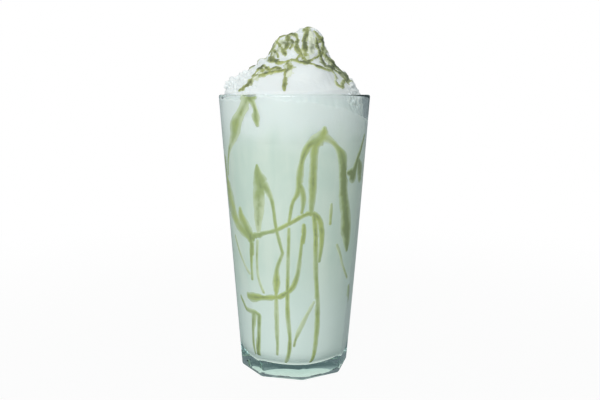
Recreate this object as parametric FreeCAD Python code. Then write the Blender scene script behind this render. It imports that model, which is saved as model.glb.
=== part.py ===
"""Pistachio milkshake in a tall panelled tumbler, heaped with whipped cream.

Three pieces, all standing on one axis: the pressed glass tumbler, the milkshake that fills it to its level,
and the whipped cream, which fills the rest of the glass and stands above the rim as a loose two-tier heap.
Millimetres, +Z up. The origin is the middle of the foot, on the surface the glass stands on. -Y is the front.
"""
import FreeCAD, Part
import math
import os

# --- tumbler ---------------------------------------------------------------------------------------------
GLASS_HEIGHT = 162.0
RIM_RADIUS = 44.0          # outside, at the top
FOOT_RADIUS = 32.0         # outside, over the corners between the panels
RIM_WALL = 2.2             # wall at the top, which is rounded over its whole thickness
BASE_THICKNESS = 7.0       # clear glass under the drink
FLOOR_RADIUS = 26.0        # where the inside wall would meet the inside floor
FLOOR_ROUNDING = 10.0      # the bowl-like corner between them
PANELS = 8                 # flat panels pressed round the lower wall
PANEL_TOP = 105.0          # height at which each panel arches out into the round wall
FOOT_FLATS = 59.6          # across opposite panels, at the foot
PANEL_TURN = 8.0           # degrees that one corner stands to the right of the front
HEEL_ROUNDING = 1.5        # rounding of the foot's edge
PUNT_RADIUS = 22.0         # hollow under the foot, which leaves a ring to stand on
PUNT_DEPTH = 1.2

# --- drink -----------------------------------------------------------------------------------------------
MILKSHAKE_LEVEL = 136.0    # where the milkshake ends and the cream begins

# --- whipped cream ---------------------------------------------------------------------------------------
CREAM_HEIGHT = 39.0        # top of the heap above the rim
SEAT_DEPTH = 9.0           # depth below the rim at which the cream leaves the wall
SEAT_INSET = 0.3           # the heap starts this far inside the filling that it stands on
WALL_GAP = 1.3             # gap between cream and glass at the rim, on the close side
WIDE_GAP = 3.6             # the same on the side where the cream has sunk away
WIDE_GAP_TURN = -5.0       # direction of that side, in degrees from +X
GAP_FOCUS = 4              # how closely the wide gap keeps to that side
SHELF_HEIGHT = 17.5        # the lower tier flattens out this far above the rim
SHELF_RADIUS = 22.0        # and is this wide there
TIER_BLEND = 3.6           # softness of the valleys between the lumps

# Each lump: direction from the axis in degrees, distance out and half width as shares of the cream's
# radius at the rim, height of its middle and half height as shares of CREAM_HEIGHT.
LUMPS = [
    (35.0, 0.085, 0.38, 0.47, 0.485),      # body of the upper tier
    (7.0, 0.20, 0.77, 0.205, 0.23),        # its peak, off to the right
    (195.0, 0.09, 0.68, 0.20, 0.205),      # its lower left shoulder
    (9.0, 0.065, 0.765, 0.16, 0.168),     # saddle between the two
    (-72.0, 0.40, 0.17, 0.44, 0.32),       # broad front fold of the lower tier
    (-142.0, 0.56, 0.10, 0.32, 0.25),      # front left fold
    (185.0, 0.84, 0.14, 0.125, 0.105),     # small lumps down the left edge
    (184.0, 0.67, 0.22, 0.115, 0.115),
    (178.0, 0.49, 0.32, 0.11, 0.12),
    (-6.0, 0.85, 0.05, 0.115, 0.12),       # small lump by the rim on the right
    (68.0, 0.62, 0.15, 0.30, 0.24),        # folds round the back
    (128.0, 0.60, 0.20, 0.28, 0.23),
    (22.0, 0.60, 0.19, 0.23, 0.19),
]

SEAT_OVERLAP = 5.0         # depth to which the heap runs down into the filling
SECTIONS = 26              # level outlines that the heap is drawn through
OUTLINE_POINTS = 72        # points round each outline
SOFTENING = 1              # times that each outline is eased towards its neighbouring points
CAP_SHARE = 0.985          # the last outline, as a share of the heap's height
DRIFT_POWER = 5            # how late the outlines' middle moves over to the peak
SEARCH_STEP = 1.0          # coarse step of the search for the heap's surface
SEARCH_LIMIT = 0.001       # and its last step

Z_AXIS = FreeCAD.Vector(0, 0, 1)
ORIGIN = FreeCAD.Vector(0, 0, 0)


def point(radius, height):
    """A point of a profile that is turned about the axis."""
    return FreeCAD.Vector(radius, 0, height)


def turn_profile(edges):
    """The solid made by turning a closed profile about the axis."""
    return Part.Face(Part.Wire(edges)).revolve(ORIGIN, Z_AXIS, 360)


def line(start, end):
    return Part.LineSegment(start, end).toShape()


def outer_radius(height):
    """Outside of the round wall."""
    return FOOT_RADIUS + (RIM_RADIUS - FOOT_RADIUS) * height / GLASS_HEIGHT


def inner_radius(height):
    """Inside of the wall, above the rounded floor corner."""
    rim_inside = RIM_RADIUS - RIM_WALL
    share = (height - BASE_THICKNESS) / (GLASS_HEIGHT - BASE_THICKNESS)
    return FLOOR_RADIUS + (rim_inside - FLOOR_RADIUS) * share


def floor_corner():
    """Edges of the cavity's floor and rounded corner, and the point where the straight wall begins."""
    lean = math.atan((inner_radius(GLASS_HEIGHT) - FLOOR_RADIUS) / (GLASS_HEIGHT - BASE_THICKNESS))
    turn = math.pi / 2 - lean
    setback = FLOOR_ROUNDING * math.tan(turn / 2)
    on_floor = point(FLOOR_RADIUS - setback, BASE_THICKNESS)
    on_wall = point(FLOOR_RADIUS + setback * math.sin(lean), BASE_THICKNESS + setback * math.cos(lean))
    centre_height = BASE_THICKNESS + FLOOR_ROUNDING
    middle = point(on_floor.x + FLOOR_ROUNDING * math.sin(turn / 2),
                   centre_height - FLOOR_ROUNDING * math.cos(turn / 2))
    floor = line(point(0, BASE_THICKNESS), on_floor)
    corner = Part.Arc(on_floor, middle, on_wall).toShape()
    return [floor, corner], on_wall


def cavity_below(height):
    """The inside of the tumbler, from its floor up to a level."""
    edges, on_wall = floor_corner()
    edge_of_level = point(inner_radius(height), height)
    top = point(0, height)
    edges += [line(on_wall, edge_of_level), line(edge_of_level, top), line(top, point(0, BASE_THICKNESS))]
    return turn_profile(edges)


def tumbler():
    """Round wall with a rounded lip, trimmed to the panels, with a rounded heel and a hollow foot."""
    edges, on_wall = floor_corner()
    lip_radius = RIM_WALL / 2
    lip_height = GLASS_HEIGHT - lip_radius
    inside = point(inner_radius(lip_height), lip_height)
    outside = point(outer_radius(lip_height), lip_height)
    crown = point((inside.x + outside.x) / 2, GLASS_HEIGHT)
    foot_edge = point(FOOT_RADIUS, 0)
    edges += [
        line(on_wall, inside),
        Part.Arc(inside, crown, outside).toShape(),
        line(outside, foot_edge),
        line(foot_edge, ORIGIN),
        line(ORIGIN, point(0, BASE_THICKNESS)),
    ]
    blank = turn_profile(edges)
    panelled = blank.common(panel_block())
    heel = [edge for edge in panelled.Edges if edge.CenterOfMass.z < SEARCH_LIMIT]
    rounded = panelled.makeFillet(HEEL_ROUNDING, heel)
    return rounded.cut(punt())


def panel_block():
    """Prism with one leaning flat side for each panel, which only touches the round wall at PANEL_TOP."""
    foot_flat = FOOT_FLATS / 2
    lean = (outer_radius(PANEL_TOP) - foot_flat) / PANEL_TOP
    rings = []
    for height in (0.0, GLASS_HEIGHT + RIM_WALL):
        corner_reach = (foot_flat + lean * height) / math.cos(math.pi / PANELS)
        ring = []
        for index in range(PANELS):
            angle = math.radians(PANEL_TURN - 90 + 360 * index / PANELS)
            across, along = corner_reach * math.cos(angle), corner_reach * math.sin(angle)
            ring.append(FreeCAD.Vector(across, along, height))
        rings.append(ring)
    low, high = rings
    sides = [[low[index - 1], low[index], high[index], high[index - 1]] for index in range(PANELS)]
    faces = [Part.Face(Part.makePolygon(corners + corners[:1])) for corners in [low, high] + sides]
    return Part.Solid(Part.Shell(faces))


def punt():
    """Shallow hollow under the foot, the cap of a large ball."""
    ball_radius = (PUNT_RADIUS ** 2 + PUNT_DEPTH ** 2) / (2 * PUNT_DEPTH)
    halfway = PUNT_RADIUS / 2
    halfway_drop = ball_radius - math.sqrt(ball_radius ** 2 - halfway ** 2)
    edge = point(PUNT_RADIUS, 0)
    middle = point(0, PUNT_DEPTH)
    arc = Part.Arc(middle, point(halfway, PUNT_DEPTH - halfway_drop), edge).toShape()
    return turn_profile([arc, line(edge, ORIGIN), line(ORIGIN, middle)])


def soft_union(first, second):
    """The smaller of two distances, with the valley between them filled over TIER_BLEND."""
    overlap = max(TIER_BLEND - abs(first - second), 0.0) / TIER_BLEND
    return min(first, second) - overlap * overlap * TIER_BLEND / 4


def lower_tier(x, y, rise):
    """Distance outside the broad lower tier: a blunt cone from the rim up to its shelf."""
    rim_inside = inner_radius(GLASS_HEIGHT)
    slope = (rim_inside - SHELF_RADIUS) / SHELF_HEIGHT
    side = (math.hypot(x, y) - (rim_inside - slope * rise)) / math.hypot(1, slope)
    return -soft_union(-side, SHELF_HEIGHT + TIER_BLEND - rise)


def lump_distance(x, y, rise, lump):
    """Roughly the distance outside one lump, which is a ball stretched in height."""
    turn, reach, middle, half_width, half_height = lump
    rim_inside = inner_radius(GLASS_HEIGHT)
    across = x - reach * rim_inside * math.cos(math.radians(turn))
    along = y - reach * rim_inside * math.sin(math.radians(turn))
    wide = half_width * rim_inside
    tall = half_height * CREAM_HEIGHT
    above = rise - middle * CREAM_HEIGHT
    stretch = math.sqrt((across / wide) ** 2 + (along / wide) ** 2 + (above / tall) ** 2)
    return (stretch - 1) * min(wide, tall)


def heap_distance(x, y, rise):
    """Roughly the distance outside the heap, at a height above the rim."""
    distance = lower_tier(x, y, rise)
    for lump in LUMPS:
        distance = soft_union(distance, lump_distance(x, y, rise, lump))
    return distance


def wall_limit(angle, rise):
    """How far out the cream may reach: the cavity's wall less a gap that opens towards the rim."""
    sunk = (1 + math.cos(angle - math.radians(WIDE_GAP_TURN))) / 2
    gap = WALL_GAP + (WIDE_GAP - WALL_GAP) * sunk ** GAP_FOCUS
    opened = min(max(1 + rise / SEAT_DEPTH, 0.0), 1.0)
    return inner_radius(GLASS_HEIGHT + min(rise, 0.0)) - SEAT_INSET - (gap - SEAT_INSET) * opened


def heap_reach(centre, angle, rise):
    """Distance from a section's centre to the heap's surface, in one direction."""
    def outside(reach):
        x = centre.x + reach * math.cos(angle)
        y = centre.y + reach * math.sin(angle)
        beyond_wall = math.hypot(x, y) - wall_limit(math.atan2(y, x), rise)
        return max(heap_distance(x, y, rise), beyond_wall) > 0

    far = RIM_RADIUS + math.hypot(centre.x, centre.y)
    while far > SEARCH_STEP and outside(far):
        far -= SEARCH_STEP
    near = far
    far += SEARCH_STEP
    while far - near > SEARCH_LIMIT:
        middle = (near + far) / 2
        if outside(middle):
            far = middle
        else:
            near = middle
    return near


def heap_outline(rise):
    """One level outline of the heap, as a smooth closed curve."""
    turn, peak_reach = LUMPS[1][:2]
    share = min(max(rise / CREAM_HEIGHT, 0.0), 1.0)
    drift = share ** DRIFT_POWER * peak_reach * inner_radius(GLASS_HEIGHT)
    centre = FreeCAD.Vector(drift * math.cos(math.radians(turn)), drift * math.sin(math.radians(turn)), 0)
    angles = [2 * math.pi * index / OUTLINE_POINTS for index in range(OUTLINE_POINTS)]
    reaches = [heap_reach(centre, angle, rise) for angle in angles]
    for _ in range(SOFTENING):
        reaches = [(reaches[index - 1] + 2 * reaches[index] + reaches[(index + 1) % OUTLINE_POINTS]) / 4
                   for index in range(OUTLINE_POINTS)]
    points = []
    for angle, reach in zip(angles, reaches):
        across = centre.x + reach * math.cos(angle)
        along = centre.y + reach * math.sin(angle)
        points.append(FreeCAD.Vector(across, along, GLASS_HEIGHT + rise))
    curve = Part.BSplineCurve()
    curve.interpolate(Points=points, PeriodicFlag=True, Parameters=list(range(OUTLINE_POINTS + 1)))
    return Part.Wire(curve.toShape())


def cream_heap():
    """The cream from just below its seat on the wall up to its peak."""
    lowest = -SEAT_DEPTH - SEAT_OVERLAP
    highest = CAP_SHARE * CREAM_HEIGHT
    outlines = []
    for index in range(SECTIONS):
        even = index / (SECTIONS - 1)
        closer_at_top = math.sin(math.pi / 2 * even)
        outlines.append(heap_outline(lowest + (highest - lowest) * (even + closer_at_top) / 2))
    return Part.makeLoft(outlines, True, False)


def whipped_cream():
    """The cream that fills the glass above the milkshake, with its heap."""
    filling = cavity_below(GLASS_HEIGHT - SEAT_DEPTH).cut(cavity_below(MILKSHAKE_LEVEL))
    return filling.fuse(cream_heap()).removeSplitter()


def main():
    os.makedirs("parts", exist_ok=True)
    pieces = {
        "glass": tumbler(),
        "milkshake": cavity_below(MILKSHAKE_LEVEL),
        "whipped_cream": whipped_cream(),
    }
    for name, shape in pieces.items():
        shape.exportStep(os.path.join("parts", name + ".step"))
        box = shape.optimalBoundingBox()
        print(f"{name}: {len(shape.Solids)} solid, valid {shape.isValid()}, {shape.Volume / 1000:.1f} ml, "
              f"x {box.XMin:.1f}..{box.XMax:.1f}, y {box.YMin:.1f}..{box.YMax:.1f}, "
              f"z {box.ZMin:.1f}..{box.ZMax:.1f}")


main()
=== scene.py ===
# %% [markdown]
# # A pistachio milkshake in a panelled tumbler
# The drink is built in the order in which it was made: the pressed glass, the milkshake, the whipped cream
# on top, and the pistachio sauce that ran down the inside of the glass and was drizzled over the cream.
# Everything is in metres, +Z is up, and -Y is the front. The solids of the part are loaded first, as a
# fixed frame, and sizes that two pieces share are read from them.

# %% Load the frame
import math

import bmesh
import bpy
import numpy as np
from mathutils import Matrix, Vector, noise
from mathutils.bvhtree import BVHTree


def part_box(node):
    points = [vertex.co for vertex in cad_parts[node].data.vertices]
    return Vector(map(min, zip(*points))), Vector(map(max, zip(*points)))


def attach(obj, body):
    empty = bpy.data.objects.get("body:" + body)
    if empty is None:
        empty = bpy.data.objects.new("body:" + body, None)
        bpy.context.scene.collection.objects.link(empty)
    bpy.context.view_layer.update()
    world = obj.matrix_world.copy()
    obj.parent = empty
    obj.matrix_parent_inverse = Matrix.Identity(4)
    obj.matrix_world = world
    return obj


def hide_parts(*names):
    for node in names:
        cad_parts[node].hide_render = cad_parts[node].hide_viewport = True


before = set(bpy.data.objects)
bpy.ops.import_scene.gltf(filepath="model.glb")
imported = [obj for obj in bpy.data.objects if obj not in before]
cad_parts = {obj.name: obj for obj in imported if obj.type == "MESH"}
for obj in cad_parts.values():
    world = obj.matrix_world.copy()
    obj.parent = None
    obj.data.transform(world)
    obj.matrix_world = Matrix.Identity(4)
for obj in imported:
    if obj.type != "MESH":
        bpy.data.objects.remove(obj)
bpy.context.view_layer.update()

MM = 0.001
RIM_RADIUS, _, GLASS_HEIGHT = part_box("glass")[1]
FLOOR_HEIGHT, DRINK_LEVEL = (corner[2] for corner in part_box("milkshake"))
CREAM_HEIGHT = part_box("whipped_cream")[1][2] - GLASS_HEIGHT
print("glass", round(GLASS_HEIGHT / MM, 1), "mm high")
print("cream", round(CREAM_HEIGHT / MM, 1), "mm above the rim")

# %% [markdown]
# ## Sizes that only the pieces themselves know
# The frame gives outside sizes. What lies inside a solid, such as a wall's thickness or the place of a
# panel, is named here once.

# %% Sizes of the tumbler
FOOT_RADIUS = 32.0 * MM
RIM_OUTSIDE = 44.0 * MM
RIM_WALL = 2.2 * MM
FLOOR_RADIUS = 26.0 * MM
FLOOR_ROUNDING = 10.0 * MM
PANELS = 8
PANEL_TOP = 105.0 * MM
PANEL_FLAT = 29.8 * MM
PANEL_TURN = math.radians(8.0)
HEEL_ROUNDING = 1.5 * MM
PUNT_RADIUS = 22.0 * MM
PUNT_DEPTH = 1.2 * MM
TURN_STEPS = 256
SHARP_ANGLE = math.radians(50.0)


def outer_radius(height):
    return FOOT_RADIUS + (RIM_OUTSIDE - FOOT_RADIUS) * height / GLASS_HEIGHT


def inner_radius(height):
    share = (height - FLOOR_HEIGHT) / (GLASS_HEIGHT - FLOOR_HEIGHT)
    return FLOOR_RADIUS + (RIM_OUTSIDE - RIM_WALL - FLOOR_RADIUS) * share


print("inside the rim", round(inner_radius(GLASS_HEIGHT) / MM, 1), "mm")

# %% [markdown]
# ## Writing node trees as formulas
# Materials and shapes below are node trees, and small classes let a tree be written as a formula.
# `Socket` wraps one output of a node, and Python's own operators add Math nodes to it. `Graph` adds any
# other node from its type, its settings and the values or links of its sockets. `Material` is a shader
# tree, and `Shape` is a Geometry Nodes tree that is applied to a piece.

# %% Node tree helpers
def operator(operation, swapped=False):
    """A method that adds a Math node, with its two values swapped for a reflected operator."""
    def method(self, other):
        pair = (other, self) if swapped else (self, other)
        return self.graph.node("ShaderNodeMath", {"operation": operation}, dict(enumerate(pair)))
    return method


class Socket:
    """One output of a node, on which arithmetic adds Math nodes."""

    __add__ = __radd__ = operator("ADD")
    __mul__ = __rmul__ = operator("MULTIPLY")
    __sub__, __rsub__ = operator("SUBTRACT"), operator("SUBTRACT", swapped=True)
    __truediv__, __rtruediv__ = operator("DIVIDE"), operator("DIVIDE", swapped=True)
    __pow__ = operator("POWER")
    highest = operator("MAXIMUM")

    def __init__(self, graph, output):
        self.graph = graph
        self.output = output

    def function(self, operation, other=0.0):
        return self.graph.node("ShaderNodeMath", {"operation": operation}, {0: self, 1: other})

    def between(self, low, high):
        """0 below low, 1 above high, and an even ramp between them, eased at both ends."""
        sockets = {"Value": self, "From Min": low, "From Max": high}
        return self.graph.node("ShaderNodeMapRange", {"interpolation_type": "SMOOTHSTEP"}, sockets)


class Graph:
    """A node tree under construction."""

    def __init__(self, tree):
        self.tree = tree

    def node(self, kind, settings=None, values=None, out=0):
        made = self.tree.nodes.new(kind)
        for name, value in (settings or {}).items():
            setattr(made, name, value)
        for key, value in (values or {}).items():
            self.feed(self.find(made.inputs, key), value)
        return Socket(self, self.find(made.outputs, out))

    @staticmethod
    def find(sockets, key):
        if isinstance(key, int):
            return sockets[key]
        for socket in sockets:
            if socket.identifier == key:
                return socket
        return sockets[key]

    def feed(self, entry, value):
        if isinstance(value, Socket):
            self.tree.links.new(value.output, entry)
        else:
            entry.default_value = value

    def other(self, socket, out):
        """Another output of the node that a socket belongs to."""
        return Socket(self, self.find(socket.output.node.outputs, out))

    def vector(self, operation, first, second=(0.0, 0.0, 0.0)):
        return self.node("ShaderNodeVectorMath", {"operation": operation}, {0: first, 1: second})

    def scaled(self, vector, factor):
        return self.node("ShaderNodeVectorMath", {"operation": "SCALE"}, {0: vector, "Scale": factor})

    def split(self, vector):
        parts = self.node("ShaderNodeSeparateXYZ", {}, {0: vector})
        return parts, self.other(parts, 1), self.other(parts, 2)

    def blend(self, share, first, second):
        """A colour that goes from the first to the second."""
        sockets = {"Factor_Float": share, "A_Color": first, "B_Color": second}
        return self.node("ShaderNodeMix", {"data_type": "RGBA"}, sockets, out="Result_Color")

    def mixed(self, share, first, second):
        """A shader that goes from the first to the second."""
        return self.node("ShaderNodeMixShader", {}, {0: share, 1: first, 2: second})

    def noise(self, place, scale, detail=2.0, roughness=0.5, distortion=0.0):
        sockets = {"Vector": place, "Scale": scale, "Detail": detail, "Roughness": roughness}
        return self.node("ShaderNodeTexNoise", {}, {**sockets, "Distortion": distortion})


class Material(Graph):
    """A material whose Principled shader is set by name."""

    def __init__(self, name):
        self.material = bpy.data.materials.new(name)
        self.material.use_nodes = True
        super().__init__(self.material.node_tree)
        self.shader = self.tree.nodes["Principled BSDF"]
        self.solid = Socket(self, self.shader.outputs[0])

    def ends_in(self, **shaders):
        """Feeds the material's Surface or Volume."""
        for name, shader in shaders.items():
            self.feed(self.tree.nodes["Material Output"].inputs[name], shader)

    def place(self):
        return self.node("ShaderNodeTexCoord", {}, {}, out="Object")

    def set(self, **values):
        for name, value in values.items():
            self.feed(self.shader.inputs[name.replace("_", " ")], value)

    def bump(self, height, strength, distance):
        sockets = {"Height": height, "Strength": strength, "Distance": distance}
        return self.node("ShaderNodeBump", {}, sockets)


class Shape(Graph):
    """A Geometry Nodes tree with named inputs, used as a modifier and then applied."""

    def __init__(self, name):
        super().__init__(bpy.data.node_groups.new(name, "GeometryNodeTree"))
        self.tree.interface.new_socket(name="Geometry", in_out="OUTPUT", socket_type="NodeSocketGeometry")
        self.tree.interface.new_socket(name="Geometry", in_out="INPUT", socket_type="NodeSocketGeometry")
        self.entry = self.tree.nodes.new("NodeGroupInput")
        self.exit = self.tree.nodes.new("NodeGroupOutput")
        self.values = {}

    def geometry(self):
        return Socket(self, self.entry.outputs[0])

    def place(self):
        return self.node("GeometryNodeInputPosition")

    def input(self, name, value, kind="NodeSocketFloat"):
        """A named input of the tree, with the value that the modifier will give it."""
        entry = self.tree.interface.new_socket(name=name, in_out="INPUT", socket_type=kind)
        self.values[entry.identifier] = value
        return Socket(self, self.find(self.entry.outputs, entry.identifier))

    def stored(self, name):
        """A value that the mesh's points carry under a name."""
        kind = {"data_type": "FLOAT"}
        return self.node("GeometryNodeInputNamedAttribute", kind, {"Name": name}, out="Attribute")

    def store(self, geometry, name, value):
        kind = {"data_type": "FLOAT", "domain": "POINT"}
        return self.node("GeometryNodeStoreNamedAttribute", kind,
                         {"Geometry": geometry, "Name": name, "Value": value})

    def finish(self, geometry, material):
        """Ends the tree in real geometry with its material."""
        real = self.node("GeometryNodeRealizeInstances", {}, {"Geometry": geometry})
        coloured = self.node("GeometryNodeSetMaterial", {}, {"Geometry": real, "Material": material})
        self.feed(self.exit.inputs[0], coloured)

    def apply(self, piece):
        """Runs the tree on a piece and keeps the result as a plain mesh."""
        modifier = piece.modifiers.new(self.tree.name, "NODES")
        modifier.node_group = self.tree
        for identifier, value in self.values.items():
            modifier[identifier] = value
        keep_result(piece)


def keep_result(piece):
    """Swaps a piece's mesh for what its modifiers make of it, and removes them."""
    seen = piece.evaluated_get(bpy.context.evaluated_depsgraph_get())
    mesh = bpy.data.meshes.new_from_object(seen)
    piece.modifiers.clear()
    piece.data = mesh
    mesh.name = piece.name
    mesh.shade_smooth()


def add_object(name, data):
    made = bpy.data.objects.new(name, data)
    bpy.context.scene.collection.objects.link(made)
    return made


def new_piece(name, points, faces, material=None):
    """A smooth-shaded mesh object at the origin."""
    mesh = bpy.data.meshes.new(name)
    mesh.from_pydata([tuple(point) for point in points], [], [tuple(face) for face in faces])
    mesh.shade_smooth()
    piece = add_object(name, mesh)
    if material:
        mesh.materials.append(material)
    return piece


def mark(piece, name, values):
    """Gives each point of a piece's mesh a number, under a name."""
    marks = piece.data.attributes.new(name, "FLOAT", "POINT")
    marks.data.foreach_set("value", np.ascontiguousarray(values))


def count(piece):
    piece.data.calc_loop_triangles()
    triangles = len(piece.data.loop_triangles)
    print(piece.name, triangles, "triangles")
    return triangles


MOST_TRIANGLES = 190_000


def thin_out(piece):
    """Collapses the edges that matter least to the shape, until the piece is light enough."""
    triangles = count(piece)
    if triangles > MOST_TRIANGLES:
        collapse = piece.modifiers.new("thin out", "DECIMATE")
        collapse.ratio = MOST_TRIANGLES / triangles
        keep_result(piece)
        count(piece)


# %% [markdown]
# ## Turned shapes
# The tumbler and the drink are bodies of revolution. Each point of a profile of radii and heights becomes
# a ring, and a point on the axis stays a single pole, so the mesh closes without overlapping corners. The
# profile runs from the bottom pole to the top pole with the outside on its right, which makes the faces
# point outwards.

# %% Turn a profile
def turned(name, profile, material=None):
    """A closed mesh of a profile turned about the axis; its first and last points lie on the axis."""
    angles = np.arange(TURN_STEPS) * 2 * math.pi / TURN_STEPS
    points = [(0.0, 0.0, profile[0][1])]
    for radius, height in profile[1:-1]:
        points += [(radius * math.cos(a), radius * math.sin(a), height) for a in angles]
    points.append((0.0, 0.0, profile[-1][1]))
    last = len(points) - 1
    rings = len(profile) - 2
    faces = []
    for step in range(TURN_STEPS):
        after = (step + 1) % TURN_STEPS
        faces.append((0, 1 + after, 1 + step))
        for ring in range(rings - 1):
            low = 1 + ring * TURN_STEPS
            high = low + TURN_STEPS
            faces.append((low + step, low + after, high + after, high + step))
        top = 1 + (rings - 1) * TURN_STEPS
        faces.append((top + step, top + after, last))
    piece = new_piece(name, points, faces, material)
    piece.data.set_sharp_from_angle(angle=SHARP_ANGLE)
    return piece


def arc(centre, radius, start, end, steps):
    """Points along an arc of a profile, with angles in degrees from outwards, turning upwards."""
    angles = np.radians(np.linspace(start, end, steps))
    return [(centre[0] + radius * math.cos(a), centre[1] + radius * math.sin(a)) for a in angles]


def straight(start, end, step):
    """Evenly spaced points of a straight run, without its ends."""
    pieces = max(int(math.dist(start, end) / step), 1)
    shares = np.arange(1, pieces) / pieces
    return [(start[0] + (end[0] - start[0]) * s, start[1] + (end[1] - start[1]) * s) for s in shares]


# %% [markdown]
# ## The inside of the tumbler
# The floor runs into the wall in a large bowl-like curve, which gives the drink its round bottom edge. The
# drink is drawn on the same curve, but reaches `WET` into the glass: where a liquid wets glass there is no
# air between them, and a mesh that stops at the wall, or short of it, would show a silvery film of air.

# %% Profile of the inside
WET = 0.30 * MM
LEAN = math.atan((inner_radius(GLASS_HEIGHT) - FLOOR_RADIUS) / (GLASS_HEIGHT - FLOOR_HEIGHT))
FLOOR_STEPS = 22
WALL_STEP = 2.0 * MM


def inside_profile(top, grown=0.0):
    """The cavity from the middle of its floor up to a height, made larger all round by `grown`."""
    degrees = 90 - math.degrees(LEAN)
    setback = FLOOR_ROUNDING * math.tan(math.radians(degrees) / 2)
    centre = (FLOOR_RADIUS - setback, FLOOR_HEIGHT + FLOOR_ROUNDING)
    corner = arc(centre, FLOOR_ROUNDING + grown, -90, -90 + degrees, FLOOR_STEPS)
    floor = [(0.0, corner[0][1]), (corner[0][0] / 2, corner[0][1])]
    edge = (inner_radius(top) + grown / math.cos(LEAN), top)
    return floor + corner + straight(corner[-1], edge, WALL_STEP) + [edge]


print(len(inside_profile(DRINK_LEVEL)), "points from the floor to the drink's level")

# %% [markdown]
# ## The panelled tumbler
# Pressed tumblers are round at the lip, where people drink, and have flat panels lower down, which stiffen
# the wall and give the fingers a hold. Each panel is a plane that leans more than the wall, so it cuts
# deep at the foot and runs out in an arch where it leaves the round wall. The rule is the same for every
# panel, which suits Geometry Nodes: for each point of the outside the tree works out how far out the
# nearest panel's plane lies in that direction, and keeps the smaller of the two radii. The minimum is a
# smooth one, which gives the soft, fire-polished edges of pressed glass.

# %% Shape of the tumbler
EDGE_SOFTNESS = 0.35 * MM
LIP_RADIUS = RIM_WALL / 2
HEEL_STEPS = 8
LIP_STEPS = 13
HOLLOW_STEPS = 12
OUTSIDE_STEP = 1.5 * MM
TINY = 0.001 * MM


def tumbler_profile():
    """From the middle of the hollow foot, up the outside, over the lip and down the inside."""
    ball = (PUNT_RADIUS ** 2 + PUNT_DEPTH ** 2) / (2 * PUNT_DEPTH)
    hollow_sweep = math.degrees(math.asin(PUNT_RADIUS / ball))
    hollow = arc((0.0, PUNT_DEPTH - ball), ball, 90, 90 - hollow_sweep, HOLLOW_STEPS)
    heel_centre = (outer_radius(HEEL_ROUNDING) - HEEL_ROUNDING, HEEL_ROUNDING)
    heel = arc(heel_centre, HEEL_ROUNDING, -90, 0, HEEL_STEPS)
    lip_height = GLASS_HEIGHT - LIP_RADIUS
    lip_centre = (outer_radius(lip_height) - LIP_RADIUS, lip_height)
    lip = arc(lip_centre, LIP_RADIUS, 0, 180, LIP_STEPS)
    outside = straight(heel[-1], lip[0], OUTSIDE_STEP)
    inside = inside_profile(lip_height)
    return hollow + straight(hollow[-1], heel[0], OUTSIDE_STEP) + heel + outside + lip + inside[-2::-1]


def press_panels():
    """The tree that presses the flat panels into a round wall."""
    shape = Shape("press panels")
    panels = shape.input("Panels", PANELS, "NodeSocketInt")
    turn = shape.input("Turn", PANEL_TURN + math.pi / PANELS - math.pi / 2)
    flat = shape.input("Flat at the foot", PANEL_FLAT)
    lean = shape.input("Lean of a panel", (outer_radius(PANEL_TOP) - PANEL_FLAT) / PANEL_TOP)
    softness = shape.input("Edge softness", EDGE_SOFTNESS)
    foot = shape.input("Foot radius", FOOT_RADIUS)
    slope = shape.input("Slope of the wall", (RIM_OUTSIDE - FOOT_RADIUS) / GLASS_HEIGHT)
    place = shape.place()
    across, along, height = shape.split(place)
    radius = (across * across + along * along) ** 0.5
    angle = along.function("ARCTAN2", across)
    width = 2 * math.pi / panels
    off_middle = (angle - turn + width / 2).function("FLOORED_MODULO", width) - width / 2
    wall = foot + slope * height
    plane = (flat + lean * height) / off_middle.function("COSINE")
    smooth = {"operation": "SMOOTH_MIN"}
    pressed = shape.node("ShaderNodeMath", smooth, {0: wall, 1: plane, 2: softness})
    share = (radius - (wall - pressed)) / radius.highest(TINY)
    flat_scale = shape.node("ShaderNodeCombineXYZ", {}, {0: share, 1: share, 2: 1.0})
    moved = shape.vector("MULTIPLY", place, flat_scale)
    sockets = {"Factor_Float": shape.stored("outside"), "A_Vector": place, "B_Vector": moved}
    eased = shape.node("ShaderNodeMix", {"data_type": "VECTOR"}, sockets, out="Result_Vector")
    result = shape.node("GeometryNodeSetPosition", {}, {"Geometry": shape.geometry(), "Position": eased})
    return shape, result


# %% [markdown]
# ## Glass
# Pressed soda-lime glass is clear with a slight green, which shows only where light has a long way through
# it: in the thick base and along the two sides. So the colour belongs in a Volume Absorption shader, and
# the surface stays smooth and fully transmissive. For light on its way to the drink the surface is a plain
# window: without that, a path tracer treats the glass as opaque to lamps, and the drink turns grey.

# %% Glass material
GLASS_INDEX = 1.5
GLASS_SURFACE = (0.985, 0.995, 0.992, 1.0)
GLASS_WINDOW = (0.97, 0.99, 0.985, 1.0)
GLASS_TINT = (0.42, 0.68, 0.66, 1.0)
TINT_DENSITY = 15.0


def clear_glass():
    finish = Material("pressed_glass")
    finish.set(Base_Color=GLASS_SURFACE, Roughness=0.0, IOR=GLASS_INDEX, Transmission_Weight=1.0)
    path = finish.node("ShaderNodeLightPath", {}, {}, out="Is Shadow Ray")
    passing = path.highest(finish.other(path, "Is Diffuse Ray"))
    window = finish.node("ShaderNodeBsdfTransparent", {}, {"Color": GLASS_WINDOW})
    surface = finish.mixed(passing, finish.solid, window)
    depth = finish.node("ShaderNodeVolumeAbsorption", {}, {"Color": GLASS_TINT, "Density": TINT_DENSITY})
    finish.ends_in(Surface=surface, Volume=depth)
    return finish.material


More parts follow.
